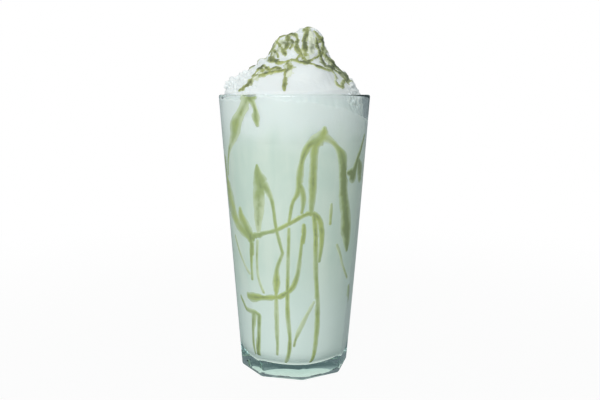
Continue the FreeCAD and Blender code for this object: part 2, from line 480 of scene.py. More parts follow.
profile = tumbler_profile()
tumbler = turned("tumbler", profile)
peak = max(range(len(profile)), key=lambda index: profile[index][1])
hollow_end = next(index for index, spot in enumerate(profile) if spot[0] > PUNT_RADIUS + TINY)
mask = np.zeros(len(tumbler.data.vertices))
mask[1 + (hollow_end - 1) * TURN_STEPS:1 + peak * TURN_STEPS] = 1.0
mark(tumbler, "outside", mask)
shape, result = press_panels()
shape.finish(result, clear_glass())
shape.apply(tumbler)
tumbler.data.attributes.remove(tumbler.data.attributes["outside"])
count(tumbler)

# %% [markdown]
# ## The milkshake
# A milkshake is milk fat and air, so it is opaque: a matt colour with a fine bump of bubbles is enough.
# The colour is a pale, greyish mint, lighter near the floor and deeper and streakier above it. Towards the
# top the cream has begun to melt into it, in a soft, uneven band. The milkshake and the cream behind the
# glass share one colour rule, a blend by height with some noise in it, so the band runs on across the
# joint between the two meshes. A thick glass base gathers light and brings it to the underside of the
# drink. The window trick of the glass leaves that light out, so painted light stands in: a paler colour on
# the lowest 1.5 mm, and a faint glow on the lowest 3 mm.

# %% Colours of drink and cream
DRINK_COLOUR = (0.760, 0.835, 0.745, 1.0)
DRINK_DEEP = (0.655, 0.765, 0.680, 1.0)
DRINK_LOW = (0.825, 0.900, 0.855, 1.0)
# painted light: a paler colour for the drink's underside, standing in for light that the thick glass base
# brings to it
DRINK_UNDERSIDE_PAINTED_LIGHT = (0.900, 0.950, 0.910, 1.0)
BASE_GLOW = (0.46, 0.48, 0.44, 1.0)
CREAM_BEHIND_GLASS = (0.850, 0.905, 0.885, 1.0)
CREAM_COLOUR = (0.810, 0.850, 0.855, 1.0)
BLEND_LOW = DRINK_LEVEL - 9 * MM
BLEND_HIGH = DRINK_LEVEL + 16 * MM
BLEND_WAVER = 16 * MM
# where the cream comes out of the glass and takes its own colour
FREE_LOW = GLASS_HEIGHT - 6 * MM
FREE_HIGH = GLASS_HEIGHT + 1 * MM
CLEAR_LOW = 25 * MM
CLEAR_HIGH = 75 * MM
STREAK_STRETCH = (1.0, 1.0, 0.12)
# scale, detail, roughness and distortion of each noise
WAVER = (48.0, 3.0, 0.55, 0.8)
STREAKS = (105.0, 3.0, 0.55)
CLOUDS = (30.0, 4.0, 0.55, 0.6)
CLOUD_EDGES = (0.38, 0.62)
BUBBLES = (900.0, 2.0)
UNDERSIDE_HEIGHT = 1.5 * MM
GLOW_HEIGHT = 3 * MM
DARK = (0.0, 0.0, 0.0, 1.0)


def dairy_colour(finish):
    """Milkshake below, cream above, with a soft uneven band between them."""
    place = finish.place()
    _, _, height = finish.split(place)
    waver = (finish.noise(place, *WAVER) - 0.5) * BLEND_WAVER
    share = (height + waver).between(BLEND_LOW, BLEND_HIGH)
    streaks = finish.noise(finish.vector("MULTIPLY", place, STREAK_STRETCH), *STREAKS)
    cloud = (finish.noise(place, *CLOUDS) * 0.5 + streaks * 0.5).between(*CLOUD_EDGES)
    upper = (height + waver).between(CLEAR_LOW, CLEAR_HIGH)
    drink = finish.blend(upper, DRINK_LOW, finish.blend(cloud, DRINK_COLOUR, DRINK_DEEP))
    free = height.between(FREE_LOW, FREE_HIGH)
    return finish.blend(share, drink, finish.blend(free, CREAM_BEHIND_GLASS, CREAM_COLOUR))


def milkshake_finish():
    finish = Material("milkshake")
    place = finish.place()
    bubbles = finish.noise(place, *BUBBLES)
    _, _, height = finish.split(place)
    # painted light: the lowest 1.5 mm is paler and the lowest 3 mm glows, for the light that the thick
    # base brings to the underside
    above_painted_light = height.between(FLOOR_HEIGHT, FLOOR_HEIGHT + UNDERSIDE_HEIGHT)
    colour = finish.blend(above_painted_light, DRINK_UNDERSIDE_PAINTED_LIGHT, dairy_colour(finish))
    glow = finish.blend(height.between(FLOOR_HEIGHT, FLOOR_HEIGHT + GLOW_HEIGHT), BASE_GLOW, DARK)
    finish.set(Base_Color=colour, Roughness=0.45, Emission_Color=glow, Emission_Strength=1.0)
    finish.set(Normal=finish.bump(bubbles, strength=0.15, distance=0.2 * MM))
    return finish.material


drink_profile = inside_profile(DRINK_LEVEL, WET) + [(0.0, DRINK_LEVEL)]
milkshake = turned("milkshake_drink", drink_profile, milkshake_finish())
count(milkshake)

# %% [markdown]
# ## The heap of whipped cream
# Whipped cream holds the shape it was given: a broad lower tier that fills the mouth of the glass, a
# narrower one dropped on it with a peak to one side, and small torn lumps along the edge. Here each lump
# is a ball with its place and size, as shares of the heap's radius and height, and the surface lies where
# the smallest of their distances is zero, with the valleys filled a little. Coarse balls are fused first
# by a voxel remesh, which gives an even mesh of small squares, and each of its points is then moved onto
# the exact surface, to which fine folds of noise are added.

# %% Form of the heap
HEAP_RADIUS = inner_radius(GLASS_HEIGHT)
# how far below the rim the cream leaves the wall: everywhere, more where the gap is widest, and unevenly
SEAT_DEPTH = 2.6 * MM
OPEN_DEPTH = 12.0 * MM
SEAT_WAVER = 2.4 * MM
SEAT_LEAST = 0.5 * MM
OPEN_LEAN = 0.6
WALL_GAP = 1.3 * MM
WIDE_GAP = 3.6 * MM
WIDE_GAP_TURN = math.radians(-5.0)
GAP_FOCUS = 4
WALL_FOLDS = 0.7
SHELF_HEIGHT = 17.5 * MM
SHELF_RADIUS = 22.0 * MM
TIER_BLEND = 2.6 * MM
FOLD_DEPTH = 1.05 * MM
CREAM_BASE = DRINK_LEVEL - 2 * MM
PLUG_INSET = 0.03 * MM

# direction in degrees, distance out, height of the middle, half width, half height
LUMPS = [
    (35.0, 0.085, 0.38, 0.47, 0.485),
    (7.0, 0.20, 0.77, 0.205, 0.23),
    (195.0, 0.09, 0.68, 0.20, 0.205),
    (9.0, 0.065, 0.765, 0.16, 0.168),
    (-72.0, 0.40, 0.17, 0.44, 0.32),
    (-142.0, 0.56, 0.10, 0.32, 0.25),
    (185.0, 0.84, 0.14, 0.125, 0.105),
    (184.0, 0.67, 0.22, 0.115, 0.115),
    (178.0, 0.49, 0.32, 0.11, 0.12),
    (-6.0, 0.80, 0.05, 0.12, 0.12),
    (68.0, 0.62, 0.15, 0.30, 0.24),
    (128.0, 0.60, 0.20, 0.28, 0.23),
    (22.0, 0.60, 0.19, 0.23, 0.19),
]


def lump_place(lump):
    """Middle and half sizes of one lump, in metres above the rim."""
    turn, reach, middle, half_width, half_height = lump
    angle = math.radians(turn)
    out, height = reach * HEAP_RADIUS, GLASS_HEIGHT + middle * CREAM_HEIGHT
    centre = np.array([out * math.cos(angle), out * math.sin(angle), height])
    return centre, np.array([half_width * HEAP_RADIUS] * 2 + [half_height * CREAM_HEIGHT])


def soft_union(first, second, blend):
    overlap = np.clip(blend - np.abs(first - second), 0, None) / blend
    return np.minimum(first, second) - overlap ** 2 * blend / 4


def heap_distance(points):
    """Distance of each point outside the heap and its filling, negative inside."""
    radius = np.hypot(points[:, 0], points[:, 1])
    rise = points[:, 2] - GLASS_HEIGHT
    slope = (HEAP_RADIUS - SHELF_RADIUS) / SHELF_HEIGHT
    side = (radius - (HEAP_RADIUS - slope * rise)) / math.hypot(1, slope)
    distance = -soft_union(-side, SHELF_HEIGHT + TIER_BLEND - rise, TIER_BLEND)
    for lump in LUMPS:
        centre, size = lump_place(lump)
        stretch = np.linalg.norm((points - centre) / size, axis=1)
        distance = soft_union(distance, (stretch - 1) * size.min(), TIER_BLEND)
    return distance


WAVE_STEPS = 721
AROUND = np.linspace(-math.pi, math.pi, WAVE_STEPS)


def waves_around(level, scale):
    """Noise along a circle, which runs on where the circle closes."""
    return np.array([noise.noise(Vector((math.cos(a), math.sin(a), level)) * scale) for a in AROUND])


SEAT_WAVES = waves_around(0.0, 4.0) + 0.5 * waves_around(0.3, 13.0)


def wall_limit(points):
    """How far out the cream may reach at each point."""
    rise = points[:, 2] - GLASS_HEIGHT
    angle = np.arctan2(points[:, 1], points[:, 0])
    sunk = ((1 + np.cos(angle - WIDE_GAP_TURN)) / 2) ** GAP_FOCUS
    gap = WALL_GAP + (WIDE_GAP - WALL_GAP) * sunk
    waves = np.interp(angle, AROUND, SEAT_WAVES)
    seat = np.maximum(SEAT_DEPTH + OPEN_DEPTH * sunk + SEAT_WAVER * waves, SEAT_LEAST)
    opened = np.clip(1 + rise / seat, 0, 1)
    wet = inner_radius(GLASS_HEIGHT + np.minimum(rise, 0)) + WET - PLUG_INSET
    return wet - (gap + WET) * opened - OPEN_LEAN * sunk * np.clip(rise, 0, None)


def cream_distance(points, folds):
    """The whole cream: heap with its folds, kept inside the glass and above its base."""
    radius = np.hypot(points[:, 0], points[:, 1])
    body = np.maximum(heap_distance(points) - folds, radius - wall_limit(points) - folds * WALL_FOLDS)
    return np.maximum(body, CREAM_BASE - points[:, 2])


# %% [markdown]
# The remeshed points are carried onto the surface in a few steps. Each step measures the distance at a
# point and at three points beside it, which gives the direction of steepest rise, and moves the point back
# along it. In some of the steps each point first moves half way to the middle of its neighbours, which
# keeps the mesh even. Most of the folds are the absolute value of a noise: round swellings with sharp
# creases between them, like cream that was dropped from a spoon. They fade out where the cream lies
# smoothly against the glass. Blender's noise of vectors takes its seed from the clock unless one is set,
# so it is set here, and every run gives the same cream.

# %% Mesh of the cream
FOLD_SEED = 1
noise.seed_set(FOLD_SEED)
VOXEL = 0.42 * MM
PROJECTIONS = 8
EVENING = (2, 3, 4, 5)
PROBE = 0.05 * MM
STEP_SHARE = 0.8
LONGEST_STEP = VOXEL * 2
LEAST_SLOPE = 0.3
FILLING_RINGS = 12
# sizes of the folds in millimetres, from broad ones down to the grain, and how far the warp moves them
WARP_SIZE, BROAD_SIZE, BILLOW_SIZE, CRINKLE_SIZE, GRAIN_SIZE = 15.0, 9.0, 5.0, 2.3, 1.1
WARP_REACH = 5.0
BILLOW_OFFSET, CRINKLE_OFFSET = Vector((9.1, 3.7, 5.2)), Vector((1.7, 8.3, 2.9))
# where the folds change, in millimetres from the middle or above the rim
TORN_LEFT, TORN_RIGHT, FRONT, FRONT_TOP = (14, 26), (27, 33), (4, 12), (13, 18)
TORN_MORE = 1.5
FRONT_CALM = 0.88
FOLDS_DROP = 2 * MM
FOLDS_RISE = 5 * MM
FOLDS_ROOM = 2.5 * MM


def eased(values, low, high):
    """0 below low, 1 above high, and a smooth rise between them."""
    share = np.clip((values - low) / (high - low), 0, 1)
    return share * share * (3 - 2 * share)


def fold_depths(points):
    """How far the folds stand out at each point, as a share of their depth."""
    rise = (points[:, 2] - GLASS_HEIGHT) / MM
    across = points[:, 0] / MM
    torn = np.maximum(eased(-across, *TORN_LEFT), eased(across, *TORN_RIGHT) * TORN_MORE)
    smooth_front = eased(-points[:, 1] / MM, *FRONT) * (1 - eased(rise, *FRONT_TOP)) * (1 - torn)
    calm = 1 - FRONT_CALM * smooth_front
    depths = np.zeros(len(points))
    for index, spot in enumerate(points):
        place = Vector(spot) / MM
        warp = noise.noise_vector(place / WARP_SIZE) * WARP_REACH
        broad = noise.noise((place + warp) / BROAD_SIZE)
        billow = abs(noise.noise((place + warp) / BILLOW_SIZE + BILLOW_OFFSET)) * 2.2 - 0.55
        small = abs(noise.noise((place + warp * 0.6) / CRINKLE_SIZE + CRINKLE_OFFSET)) * 2 - 0.5
        grain = noise.noise(place / GRAIN_SIZE)
        bumps = broad * 0.9 + billow * 0.75
        crinkles = small * (0.22 + 0.5 * torn[index]) + grain * (0.07 + 0.10 * torn[index])
        depths[index] = (bumps + crinkles) * calm[index]
    return depths


def cream_mesh():
    """The cream as one even mesh on its exact surface."""
    rough = bmesh.new()
    for lump in LUMPS:
        centre, size = lump_place(lump)
        made = bmesh.ops.create_icosphere(rough, subdivisions=4, radius=1.0)["verts"]
        for vertex in made:
            vertex.co = Vector(centre + np.array(vertex.co) * size)
    heights = np.linspace(CREAM_BASE, GLASS_HEIGHT, FILLING_RINGS)
    filling = [(inner_radius(h) + WET, h) for h in heights[:-1]]
    shoulder = [(HEAP_RADIUS - WALL_GAP, GLASS_HEIGHT), (SHELF_RADIUS, GLASS_HEIGHT + SHELF_HEIGHT)]
    body = turned("body", [(0.0, CREAM_BASE)] + filling + shoulder + [(0.0, shoulder[1][1])])
    rough.from_mesh(body.data)
    bpy.data.objects.remove(body)
    piece = new_piece("whipped_cream_heap", [], [])
    rough.to_mesh(piece.data)
    rough.free()
    remesh = piece.modifiers.new("fuse", "REMESH")
    remesh.mode = "VOXEL"
    remesh.voxel_size = VOXEL
    keep_result(piece)
    points = np.empty((len(piece.data.vertices), 3))
    piece.data.vertices.foreach_get("co", points.ravel())
    above = np.clip((points[:, 2] - GLASS_HEIGHT + FOLDS_DROP) / FOLDS_RISE, 0, 1)
    room = np.clip((inner_radius(points[:, 2]) - wall_limit(points)) / FOLDS_ROOM, 0, 1)
    folds = fold_depths(points) * FOLD_DEPTH * np.maximum(above, room)
    ends = np.empty((len(piece.data.edges), 2), dtype=int)
    piece.data.edges.foreach_get("vertices", ends.ravel())
    neighbours = np.bincount(ends.ravel())[:, None]
    for step_number in range(PROJECTIONS):
        if step_number in EVENING:
            total = np.zeros_like(points)
            np.add.at(total, ends[:, 0], points[ends[:, 1]])
            np.add.at(total, ends[:, 1], points[ends[:, 0]])
            points = (points + total / neighbours) / 2
        here = cream_distance(points, folds)
        rises = [(cream_distance(points + step, folds) - here) / PROBE for step in np.eye(3) * PROBE]
        steepest = np.stack(rises, axis=1)
        steepest /= np.maximum(np.linalg.norm(steepest, axis=1, keepdims=True), LEAST_SLOPE)
        points -= steepest * np.clip(here, -LONGEST_STEP, LONGEST_STEP)[:, None] * STEP_SHARE
    piece.data.vertices.foreach_set("co", points.ravel())
    piece.data.shade_smooth()
    return piece


FINE_FROTH = (1400.0, 3.0, 0.6)
COARSE_FROTH = (420.0, 2.0)


def cream_finish():
    finish = Material("whipped_cream")
    place = finish.place()
    froth = finish.noise(place, *FINE_FROTH) + finish.noise(place, *COARSE_FROTH) * 1.5
    finish.set(Base_Color=dairy_colour(finish), Roughness=0.5)
    finish.set(Subsurface_Weight=0.5, Subsurface_Scale=3 * MM, Subsurface_Radius=(1.0, 0.95, 0.9))
    finish.set(Normal=finish.bump(froth, strength=0.25, distance=0.3 * MM))
    return finish.material


cream = cream_mesh()
cream.data.materials.append(cream_finish())
count(cream)

# %% [markdown]
# ## Pistachio sauce
# The sauce was drizzled round the inside of the glass, where it ran down the wall in uneven trails, and
# again over the cream. On both it is a thin domed layer, wide where it collected and thin where it ran.
# One Geometry Nodes tree makes both. It starts from a skin, which is a copy of the surface that the sauce
# lies on, finds for each of its points the nearest point of the trails and their width there, and lifts
# the skin in a dome across that width. Past the edge the dome dips under the surface, so the outline that
# shows is where the two meet, and it is smooth however coarse the skin is.

# %% Sauce layer tree
LEAST_WIDTH = 0.01 * MM
LEAST_LIFT = 0.12
MARGIN = 1.45


def sauce_layer(name, trails, thickness, finish, unevenness, grain, finer=0):
    shape = Shape(name)
    route = shape.input("Trails", trails, "NodeSocketObject")
    dome = shape.input("Thickness", thickness)
    margin = shape.input("Margin", MARGIN)
    uneven = shape.input("Unevenness", unevenness)
    ripple_scale = shape.input("Grain of the unevenness", grain)
    lines = shape.node("GeometryNodeObjectInfo", {}, {"Object": route}, out="Geometry")

    def sampled(kind, value, index):
        sockets = {"Geometry": lines, "Value": value, "Index": index}
        return shape.node("GeometryNodeSampleIndex", {"data_type": kind, "domain": "POINT"}, sockets)

    def measured(skin_place):
        """Distance from the nearest trail point in half widths, and the sauce's strength there."""
        near = shape.node("GeometryNodeSampleNearest", {"domain": "POINT"},
                          {"Geometry": lines, "Sample Position": skin_place})
        half_width = sampled("FLOAT", shape.stored("half_width"), near)
        strength = sampled("FLOAT", shape.stored("strength"), near)
        spot = sampled("FLOAT_VECTOR", shape.place(), near)
        away = shape.other(shape.vector("DISTANCE", skin_place, spot), "Value")
        share = away / half_width.highest(LEAST_WIDTH)
        return share + (shape.noise(skin_place, ripple_scale, 3.0) - 0.5) * uneven, strength

    place = shape.place()
    share, _ = measured(place)
    far = shape.node("FunctionNodeCompare", {"operation": "GREATER_THAN"}, {0: share, 1: margin})
    kept = shape.node("GeometryNodeDeleteGeometry", {"domain": "POINT"},
                      {"Geometry": shape.geometry(), "Selection": far})
    if finer:
        kept = shape.node("GeometryNodeSubdivideMesh", {}, {"Mesh": kept, "Level": finer})
    share, strength = measured(place)
    marked = shape.store(kept, "cover", 1 - share)
    marked = shape.store(marked, "strength", strength)
    normal = shape.node("GeometryNodeInputNormal")
    lift = shape.scaled(normal, dome * (LEAST_LIFT + strength * (1 - LEAST_LIFT)) * (1 - share * share))
    raised = shape.node("GeometryNodeSetPosition", {}, {"Geometry": marked, "Offset": lift})
    shape.finish(raised, finish)
    return shape


SHEET_BACK = 0.45 * MM


def close_layer(piece):
    """Gives the domed sheet a back, under the surface that it lies on."""
    backing = piece.modifiers.new("back", "SOLIDIFY")
    backing.thickness = SHEET_BACK
    backing.offset = -1
    keep_result(piece)
    thin_out(piece)


# %% [markdown]
# Trails are drawn as a few stations each, with a half width, like the strokes of a brush. A spline
# through them (Catmull-Rom) gives the smooth run between them, and is sampled about every third of a
# millimetre, so that the nearest sample is always close.

# %% Trails
SAMPLE = 0.35 * MM


def spline(stations):
    """Samples along a smooth curve through the stations, which may have any number of columns."""
    rows = np.array(stations, dtype=float)
    ends = np.vstack([2 * rows[0] - rows[1], rows, 2 * rows[-1] - rows[-2]])
    samples = []
    for index in range(len(rows) - 1):
        a, b, c, d = ends[index:index + 4]
        steps = max(int(np.linalg.norm((c - b)[:3]) / SAMPLE), 2)
        for t in np.arange(steps) / steps:
            samples.append(0.5 * (2 * b + (c - a) * t + (2 * a - 5 * b + 4 * c - d) * t ** 2
                                  + (3 * b - a - 3 * c + d) * t ** 3))
    samples.append(rows[-1])
    return np.array(samples)


def trail_object(name, samples):
    """Points with a half width and a strength, which the sauce tree reads and the render never shows."""
    holder = new_piece(name, samples[:, :3], [])
    mark(holder, "half_width", samples[:, 3])
    mark(holder, "strength", samples[:, 4])
    return holder


# %% [markdown]
# ## Sauce on the wall
# On the wall a station is an angle from the front in degrees, positive to the right, and a height and half
# the trail's width in millimetres. The strength says how much of the sauce is left: below one, the drink
# has washed part of it away and the trail is paler, and above one it lies thick and dark. It is given once
# for a trail, and again at a station where it differs. The nearest trail decides the width at a point, so
# a side branch starts in the middle of its parent with the parent's own width, and no notch opens between
# them. The back has the same trails, turned nearly half round and a little lower.

# %% Wall trails
WALL_TRAILS = [
    (0.9, [(-30, 161, 1.6), (-36, 160.5, 3.4, 0.7), (-39.5, 156.5, 3, 0.55), (-46, 150.6, 3.1, 0.7),
        (-52, 145.4, 4.6, 1), (-54.5, 140, 3.8), (-60, 135, 2.2, 0.6), (-65, 131, 1.7, 0.7),
        (-70, 124, 1.2), (-73, 117, 1)]),
    (0.7, [(-36, 160, 3.2), (-32.5, 158.5, 1.8), (-30, 154, 1.3), (-30, 150, 2.3), (-29, 146, 1.2)]),
    (0.9, [(-79, 126, 2.6), (-78, 115, 4.6), (-75, 104, 6), (-70, 97, 5.4), (-64, 91, 4.4),
        (-56, 87, 3.6), (-48, 84, 3), (-41, 82, 3.8)]),
    (0.9, [(-55, 98, 1.6), (-54, 94, 3.2), (-50, 89, 3.8), (-45, 84, 4)]),
    (0.8, [(-44, 84, 3.4), (-43, 78, 2.4), (-43, 73, 1.4)]),
    (1, [(-31.5, 124, 0.8), (-31, 120, 2.6), (-29.5, 115, 4.8), (-29, 111, 5.2), (-31, 107, 4.4, 0.75),
        (-32, 103, 3.6, 0.55), (-32.5, 98, 3.2, 0.45), (-33.5, 93, 2.6, 0.4), (-34, 87, 1.4, 0.4)]),
    (0.9, [(-29, 113, 4.8), (-25.5, 112, 3), (-22, 109, 1.8), (-19, 103, 1.2), (-17, 91, 1.1),
        (-14, 82, 1.1), (-11, 75, 1)]),
    (0.85, [(-40, 83, 2.6), (-28, 86, 1.4), (-17, 88, 1.3), (-2, 93, 1.3), (9, 97, 1.6), (17, 97, 1.9),
        (23, 92, 1.8), (25, 81, 1.6), (23, 70, 1)]),
    (0.85, [(23, 144, 1.4, 0.6), (22.5, 141.7, 2.8), (20, 138.5, 3.7), (15, 136.5, 3.3), (10, 134, 2.2),
        (6, 127, 1.7), (4, 118, 2), (3, 110, 1.8), (-2, 103, 1.1), (-5, 92, 0.9)]),
    (0.85, [(4, 114, 1.5), (7, 108, 1.8), (7, 102, 1.4), (6, 98, 0.9)]),
    (0.9, [(17, 137, 3.4), (15.5, 133, 2.4), (15, 123, 2.3), (15, 109, 2.3), (14, 97, 1.3)]),
    (1.25, [(20.5, 139, 3.6, 0.85), (25, 138.8, 2.2, 0.8), (31, 136.3, 1.6, 0.9), (36, 133, 1.9, 1),
        (41, 128.5, 3.2), (44, 119, 3.4), (46, 108, 3.4), (50, 97, 4), (54, 87, 4.6), (56, 80, 3.6),
        (57, 74, 1.4)]),
    (1.25, [(50, 119, 1.8), (54, 118.5, 3), (56.5, 117, 4.2), (58.5, 120, 2.8), (62, 126, 1.9),
        (67, 132, 1.6), (73, 139, 1.4)]),
    (1.2, [(65, 125, 1.6), (69, 120, 4.4), (71, 115, 3)]),
    (1, [(84, 126, 2), (86, 119, 4), (87, 110, 3), (88, 103, 1.6)]),
    (0.8, [(17, 97, 1.7), (19, 84, 1.4), (20, 67, 1.4), (22, 53, 1.5), (24, 38, 1.8), (24, 28, 1.7),
        (23, 19, 1.5), (21, 12, 1.2), (18, 9, 0.8)]),
    (0.85, [(8, 91, 1.2), (8, 86, 1.5), (8, 81, 0.9)]),
    (0.75, [(33, 102, 0.8), (33, 97, 1.2), (33, 91, 1)]),
    (0.85, [(-43, 81, 1.7), (-45, 70, 1.3), (-46, 58, 1)]),
    (0.5, [(-36, 81, 0.9), (-38, 70, 0.9), (-38, 60, 0.9), (-33, 51, 0.8)]),
    (0.5, [(-71, 81, 0.9), (-65, 73, 1), (-59, 68, 1), (-49, 61, 0.9)]),
    (0.75, [(-5, 89, 0.9), (-6, 68, 1.1), (-7, 50, 1.3), (-7, 39, 1.4), (-5, 25, 1.2), (-6, 16, 1.2),
        (-9, 11, 1.1), (-11, 9, 0.8)]),
    (0.85, [(7, 85, 0.9), (4, 68, 1.2), (2, 61, 1.4), (-2, 55, 1.6), (-10, 51, 1.7), (-18, 49, 1.9),
        (-35, 48, 2), (-47, 47, 2.9), (-53, 47, 2.4)]),
    (0.8, [(-11, 75, 1), (-17, 66, 1.3), (-18, 58, 2.4), (-19, 52, 1.4)]),
    (0.65, [(-19, 52, 1.2), (-20, 32, 1.4), (-20, 21, 1.1), (-21, 14, 0.8)]),
    (0.7, [(-74, 44, 1.4), (-68, 41, 1.6), (-61, 38, 1.5), (-47, 38, 1.5), (-40, 37, 1.2)]),
    (0.65, [(-47, 37, 1.6), (-50, 28, 1.5), (-52, 18, 1.5), (-50, 12, 0.9)]),
    (0.65, [(-40, 37, 1.5), (-42, 28, 1.4), (-44, 18, 1.3), (-45, 12, 0.8)]),
    (0.45, [(19, 46, 0.7), (13, 39, 1), (8, 33, 1.3), (3, 26, 0.9), (0, 20, 0.8)]),
    (0.45, [(43, 78, 0.9), (48, 72, 0.9), (52, 66, 0.9), (62, 57, 0.9)]),
    (1, [(68, 51, 1.4), (70, 47, 2.6), (72, 42, 1.6)]),
]
SAUCE_DOME = 0.30 * MM
BACK_TURN = 176
BACK_SPREAD = 0.97
BACK_SCALE = 0.93
BACK_LIFT = 3
BACK_WIDTH = 0.9


def back_trails():
    """The same trails again on the back half, turned half round, and a little lower and slimmer."""
    turned_round = []
    for strength, stations in WALL_TRAILS:
        back = []
        for angle, height, half_width, *rest in stations:
            place = (angle * BACK_SPREAD + BACK_TURN, height * BACK_SCALE + BACK_LIFT)
            back.append((*place, half_width * BACK_WIDTH, *rest))
        turned_round.append((strength, back))
    return turned_round


def wet_radius(height):
    """Radius of the wet surface, down the wall and round the corner of the floor."""
    half_turn = math.pi / 4 - LEAN / 2
    centre = FLOOR_RADIUS - FLOOR_ROUNDING * math.tan(half_turn)
    drop = np.maximum(FLOOR_HEIGHT + FLOOR_ROUNDING - height, 0)
    corner = centre + np.sqrt(np.maximum((FLOOR_ROUNDING + WET) ** 2 - drop ** 2, 0))
    wall = inner_radius(height) + WET / math.cos(LEAN)
    bend = FLOOR_HEIGHT + FLOOR_ROUNDING - (FLOOR_ROUNDING + WET) * math.sin(LEAN)
    return np.where(height > bend, wall, corner)


def on_wall(angle, height):
    """A place on the wet surface, from an angle off the front and a height in metres."""
    radius = wet_radius(height)
    return radius * np.sin(angle), -radius * np.cos(angle), height


def wall_samples():
    """All trails of the wall as points in space."""
    rows = []
    for strength, stations in WALL_TRAILS + back_trails():
        flat = []
        for angle, height, half_width, *own in stations:
            run = math.radians(angle) * inner_radius(height * MM)
            flat.append((run, height * MM, 0.0, half_width * MM, *(own or [strength])))
        for run, height, _, half_width, left in spline(flat):
            rows.append((*on_wall(run / inner_radius(height), height), half_width, left))
    return np.array(rows)


SKIN_STEP = 0.525 * MM
SKIN_LOW = FLOOR_HEIGHT + 1.2 * MM


def wall_skin():
    """A fine grid on the wet surface of the wall, from the floor's curve to just under the lip."""
    low, high = SKIN_LOW, GLASS_HEIGHT - LIP_RADIUS
    rows = int((high - low) / SKIN_STEP)
    columns = int(2 * math.pi * RIM_RADIUS / SKIN_STEP)
    heights = np.linspace(low, high, rows + 1)
    angles = np.arange(columns) * 2 * math.pi / columns
    tall, round_ = np.meshgrid(heights, angles, indexing="ij")
    points = np.stack(on_wall(round_, tall), axis=-1).reshape(-1, 3)
    row, column = np.meshgrid(np.arange(rows), np.arange(columns), indexing="ij")
    after = (column + 1) % columns
    corners = [row * columns + column, row * columns + after, (row + 1) * columns + after,
               (row + 1) * columns + column]
    return new_piece("wall_sauce", points, np.stack(corners, axis=-1).reshape(-1, 4).tolist())


# %% [markdown]
# ## Colour of the sauce
# Pistachio sauce is an olive green paste with oil in it: darker where it lies thick, more yellow in
# places, and glossy. Its thin edge lets the pale drink or cream behind it show, for which the material
# blends towards a pale green by the stored cover.

# %% Sauce materials
WALL_TONES = {"deep": (0.275, 0.330, 0.150, 1.0), "body": (0.395, 0.475, 0.215, 1.0),
              "fresh": (0.500, 0.570, 0.205, 1.0),
              "thin": (0.580, 0.660, 0.460, 1.0), "washed": (0.680, 0.740, 0.520, 1.0)}
DRIZZLE_TONES = {"deep": (0.140, 0.165, 0.080, 1.0), "body": (0.325, 0.365, 0.150, 1.0),
                 "fresh": (0.450, 0.490, 0.150, 1.0),
                 "thin": (0.590, 0.640, 0.410, 1.0), "washed": (0.740, 0.790, 0.640, 1.0)}


# scale, detail and roughness of each noise
MOTTLE = (230.0, 3.0, 0.6)
BROAD_MOTTLE = (75.0, 2.0)
YELLOWING = (38.0, 2.0)
YELLOW_EDGES = (0.42, 0.66)
WASHED_EDGES = (0.25, 0.95)
RIPPLE = (150.0, 2.0)
EDGE_WIDTH = 0.6


def sauce_finish(name, tones, deep_start, patchy):
    """Olive sauce, pale at its edges, dark where it lies thick, paler where it is washed away."""
    finish = Material(name)
    place = finish.place()
    cover = finish.node("ShaderNodeAttribute", {"attribute_name": "cover"}, {}, out="Fac")
    strength = finish.node("ShaderNodeAttribute", {"attribute_name": "strength"}, {}, out="Fac")
    mottle = finish.noise(place, *MOTTLE) - 0.5
    broad = finish.noise(place, *BROAD_MOTTLE) - 0.5
    thick = cover * (1 - patchy) + (mottle + broad) * (1.2 + patchy) + (strength.highest(1.0) - 1) * 2
    deep = thick.between(deep_start, deep_start + 0.7)
    edge = (cover + mottle * 0.4).between(0.0, EDGE_WIDTH)
    yellow = (finish.noise(place, *YELLOWING) + mottle * 0.3).between(*YELLOW_EDGES)
    body = finish.blend(deep, finish.blend(yellow, tones["body"], tones["fresh"]), tones["deep"])
    thin = finish.blend(edge, tones["thin"], body)
    kept = (strength + broad * 1.2 + mottle * 0.5 + (cover - 0.5) * 0.35).between(*WASHED_EDGES)
    finish.set(Base_Color=finish.blend(kept, tones["washed"], thin), Roughness=0.24, IOR=1.46)
    finish.set(Normal=finish.bump(finish.noise(place, *RIPPLE), strength=0.2, distance=0.6 * MM))
    return finish.material


wall_route = trail_object("wall_trails", wall_samples())
wall_sauce = wall_skin()
finish = sauce_finish("pistachio_sauce_wall", WALL_TONES, deep_start=0.45, patchy=0.2)
layer = sauce_layer("wall sauce", wall_route, SAUCE_DOME, finish, unevenness=0.7, grain=150.0)
layer.apply(wall_sauce)
close_layer(wall_sauce)

# %% [markdown]
# ## Sauce on the cream
# The drizzle is drawn from the front: a station is a distance to the right of the middle and a height
# above the rim, and each is carried onto the cream by a ray cast from the eye of someone who looks at the
# glass from the front. Seen from behind, the back has the same drizzle.

# %% Cream trails
EYE = Vector((0.0, -439.0 * MM, GLASS_HEIGHT))
CREAM_DOME = 0.5 * MM
DRIZZLE_WIDTH = 1.5
# a ray that passes beside the cream is aimed a little nearer to its middle, step by step
AIM_SHRINKS = np.linspace(1.0, 0.8, 21)
